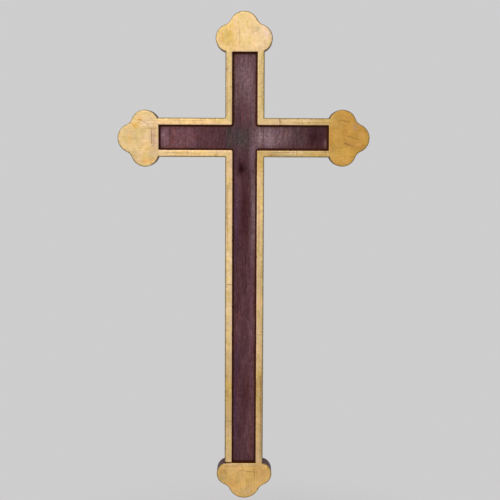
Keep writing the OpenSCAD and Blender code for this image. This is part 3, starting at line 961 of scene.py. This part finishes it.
@cache
def painting(grain):
    """The boards: brushed burgundy on the field, with sheen painted into its tones and a dark line round it
    that is partly glaze, partly painted shade, and painted sides and back.
    """
    s = Shading("painting_" + grain)
    wood, wood_rough, wood_height = back_and_sides(s, grain)
    on_field = s.smooth(s.axis("Y"), FIELD + 0.6, FIELD + 0.3)
    inner, coat = s.value("inner"), s.value("coat", "Color")

    # The paint was brushed up and down over both boards
    long = 20 if grain == "upright" else 12
    strokes = s.noise((1.2, 1.2, long), roughness=0.58, distortion=0.4, seed=2)
    hairs = s.noise((0.45, 0.45, long / 4), detail=3, distortion=0.3, seed=4)
    wide = s.noise((4.0, 4.0, 1.7 * long), distortion=1.0, seed=6)
    mottle = s.noise((2.3, 2.3, 3.4), detail=5, roughness=0.65, seed=8)
    paint = s.scaled(coat, s.smooth(strokes, 0.26, 0.74, 0.78, 1.25))
    paint = s.scaled(paint, s.smooth(wide, 0.30, 0.70, 0.74, 1.30))
    paint = s.scaled(paint, s.smooth(mottle, 0.25, 0.75, 0.82, 1.20))
    paint = s.tinted(s.smooth(wide, 0.42, 0.62, 0.0, 0.35), paint, (0.84, 1.18, 1.02))
    speckled = s.plus(hairs, s.times(mottle, 0.6))
    flecks = s.smooth(speckled, 0.88, 1.04)
    # Light flecks, strongest where the coat is pale, which is mostly where sheen is painted into it
    on_pale_coat = s.smooth(s.axis("Y", coat), 0.05, 0.15, 0.40, 1.0)
    paint = s.tinted(s.times(flecks, on_pale_coat), paint, (2.3, 2.9, 2.8))
    # Here the top coat is thin and its red ground shows, there it is thick and bluish
    thin_size = (3.0, 3.0, 44) if grain == "upright" else (9, 9, 7)
    thin = s.noise(thin_size, detail=3, roughness=0.5, distortion=0.8, seed=14)
    paint = s.tinted(s.smooth(thin, 0.52, 0.68, 0.0, 0.8), paint, (1.10, 0.86, 0.74))
    paint = s.tinted(s.smooth(thin, 0.46, 0.32, 0.0, 0.8), paint, (0.96, 0.94, 1.14))
    pits = s.smooth(speckled, 0.70, 0.56)
    paint = s.mix(s.times(pits, 0.6), paint, PIT_DARK)
    crazed = s.times(s.cracks((8, 8, 2.2), 0.06, seed=33, wander=0.4), s.smooth(wide, 0.46, 0.60))
    paint = s.mix(s.times(crazed, 0.5), paint, PIT_DARK)
    # The dark line along the field's edges, about 2 to 3 mm wide: partly a dark glaze, partly painted shade
    # at the foot of the rails
    ragged = s.times(s.minus(mottle, 0.5), 0.9)
    paint = s.mix(s.smooth(s.plus(inner, ragged), 2.8, 2.15), paint, GLAZE_AND_SHADE_BROWN)
    colour = s.mix(on_field, wood, paint)
    gloss = s.smooth(strokes, 0.3, 0.7, 0.36, 0.48)
    roughness = s.blend(on_field, wood_rough, s.plus(gloss, s.times(hairs, 0.10)))
    brushed = s.plus(s.times(strokes, 0.8), s.times(hairs, 0.35))
    height = s.blend(on_field, wood_height, s.minus(brushed, s.times(crazed, 0.4)))
    return s.finish(colour, roughness, s.raise_by(height, 0.14, 0.8), specular=LOW_GLOSS)


def zinc():
    """Dull zinc-plated steel with drawn lines, dark spots and small scratches."""
    s = Shading("zinc_steel")
    drawn = s.noise((0.16, 2.0, 9), seed=1)
    blooms = s.noise(4, detail=5, distortion=0.6, seed=5)
    spots = s.smooth(s.noise(0.9, detail=3, roughness=0.55, seed=9), 0.66, 0.76)
    scratched = s.cracks((7, 5, 5), 0.012, seed=12, wander=0.3)
    colour = s.mix(s.smooth(blooms, 0.3, 0.7), (0.40, 0.40, 0.38), (0.62, 0.61, 0.57))
    colour = s.mix(s.smooth(drawn, 0.4, 0.7, 0.0, 0.35), colour, (0.30, 0.30, 0.29))
    colour = s.mix(s.times(spots, 0.6), colour, (0.16, 0.13, 0.10))
    colour = s.mix(s.times(scratched, 0.4), colour, (0.80, 0.79, 0.76))
    roughness = s.plus(s.smooth(blooms, 0.3, 0.7, 0.50, 0.32), s.times(spots, 0.25))
    height = s.minus(s.times(drawn, 0.6), s.times(scratched, 0.8))
    return s.finish(colour, roughness, s.raise_by(height, 0.02, 0.6), metallic=s.blend(spots, 1.0, 0.4))


def bright_steel():
    """Drawn steel wire of the pins."""
    s = Shading("pin_wire")
    drawn = s.noise((0.12, 3, 0.12), roughness=0.55, seed=3)
    dull = s.noise(1.5, roughness=0.55, seed=6)
    colour = s.mix(s.smooth(dull, 0.35, 0.7), (0.55, 0.55, 0.56), (0.38, 0.35, 0.32))
    height = s.plus(drawn, s.times(dull, 0.4))
    return s.finish(colour, s.smooth(dull, 0.3, 0.7, 0.28, 0.46), s.raise_by(height, 0.01, 0.5), metallic=1.0)


def beech():
    """Plain beech of the dowels, with its short dark flecks."""
    s = Shading("beech")
    figure = s.noise((3, 1.6, 22), roughness=0.55, distortion=0.6, seed=2)
    flecks = s.smooth(s.noise((0.35, 0.35, 2.4), detail=2, roughness=0.55, seed=8), 0.62, 0.70)
    colour = s.mix(s.smooth(figure, 0.3, 0.7), (0.52, 0.34, 0.18), (0.66, 0.47, 0.28))
    colour = s.mix(s.times(flecks, 0.6), colour, (0.28, 0.14, 0.06))
    height = s.minus(figure, s.times(flecks, 0.5))
    return s.finish(colour, s.smooth(figure, 0.3, 0.7, 0.55, 0.68), s.raise_by(height, 0.03, 0.6))


DRESS_WELD = 1e-6  # metres
DRESS_FROM = math.radians(50)  # sharper edges than this are softened


def dress(node, material, edge=0.0):
    """Gives a CAD node its material and, if edge is set, softened edges of that radius in millimetres."""
    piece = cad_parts[node]
    if not piece.material_slots:
        piece.data.materials.append(material)
    for slot in piece.material_slots:
        slot.link = "OBJECT"
        slot.material = material
    if edge:
        weld = piece.modifiers.new("weld", "WELD")
        weld.merge_threshold = DRESS_WELD
        bevel = piece.modifiers.new("bevel", "BEVEL")
        bevel.width = edge * MM
        bevel.segments = 2
        bevel.limit_method = "ANGLE"
        bevel.angle_limit = DRESS_FROM
        bevel.harden_normals = True


for name in GROUND:
    gilded(name)
for name, along in BOARDS.items():
    painted_board(name, along)
plated = zinc()
dress("hanger_plate", plated, edge=0.14)
dress("hanger_screws", plated, edge=0.07)
dress("end_dowels", beech())
dress("rail_pins", bright_steel())


# Stage, light and camera --------------------

BACKDROP = (0.62, 0.612, 0.615)
FLOOR_SIZE = 40.0
FLOOR_BELOW = 0.10  # the cross hangs, so it is clear of the floor
FLOOR_SEEN = (50, 450)  # where the floor's own shading fades into the backdrop, in mm from its middle
FLOOR_COLOUR = (0.74, 0.735, 0.735, 1)


def make_floor():
    """A plain pale floor under the foot that fades into the backdrop's tone."""
    bpy.ops.mesh.primitive_plane_add(size=FLOOR_SIZE, location=(0, 0, CAD_BOX[0].z - FLOOR_BELOW))
    floor = bpy.context.object
    floor.name = "floor"
    s = Shading("floor")
    away = s.made("ShaderNodeVectorMath", {0: s.at}, "Value", operation="LENGTH")
    matte = s.made("ShaderNodeBsdfDiffuse", {"Color": FLOOR_COLOUR})
    glow = s.made("ShaderNodeEmission", {"Color": (*BACKDROP, 1)})
    fade = s.smooth(away, *FLOOR_SEEN)
    floor.data.materials.append(s.show(s.made("ShaderNodeMixShader", {0: fade, 1: matte, 2: glow})))


def make_world():
    world = bpy.data.worlds.new("studio")
    bpy.context.scene.world = world
    world.use_nodes = True
    background = world.node_tree.nodes["Background"]
    background.inputs["Color"].default_value = (*BACKDROP, 1)
    background.inputs["Strength"].default_value = 1.0


LIGHT_PLACE, LIGHT_AIM = Vector((-0.9, -2.3, 1.15)), Vector((0, 0, -0.05))
LIGHT_SIZE, LIGHT_POWER = (1.5, 1.1), 34  # metres and watts


def make_light():
    """A broad soft light, high in front and to the left."""
    light = bpy.data.lights.new("key", "AREA")
    light.shape = "RECTANGLE"
    light.size, light.size_y = LIGHT_SIZE
    light.energy = LIGHT_POWER
    lamp = placed("key", light)
    lamp.location = LIGHT_PLACE
    lamp.rotation_euler = (LIGHT_AIM - LIGHT_PLACE).to_track_quat("-Z", "Y").to_euler()


CAMERA_RANGE = 1.3957  # from the plane of the back
CAMERA_RIGHT, CAMERA_UP = 0.0070, 0.0032  # from the crossing's centre
CAMERA_PITCH, CAMERA_ROLL = 5.92, 0.24  # degrees
FOCAL_PIXELS, IMAGE_PIXELS, SENSOR = 1109, 500, 36.0


def make_camera():
    data = bpy.data.cameras.new("camera")
    data.sensor_width = SENSOR
    data.lens = SENSOR * FOCAL_PIXELS / IMAGE_PIXELS
    camera = placed("camera", data)
    camera.location = (CAMERA_RIGHT, -CAMERA_RANGE, CROSS_Z + CAMERA_UP)
    tilt = Matrix.Rotation(math.radians(90 - CAMERA_PITCH), 4, "X")
    camera.rotation_euler = (tilt @ Matrix.Rotation(math.radians(CAMERA_ROLL), 4, "Z")).to_euler()
    bpy.context.scene.camera = camera


make_floor()
make_world()
make_light()
make_camera()
bpy.context.scene.view_settings.view_transform = "Standard"
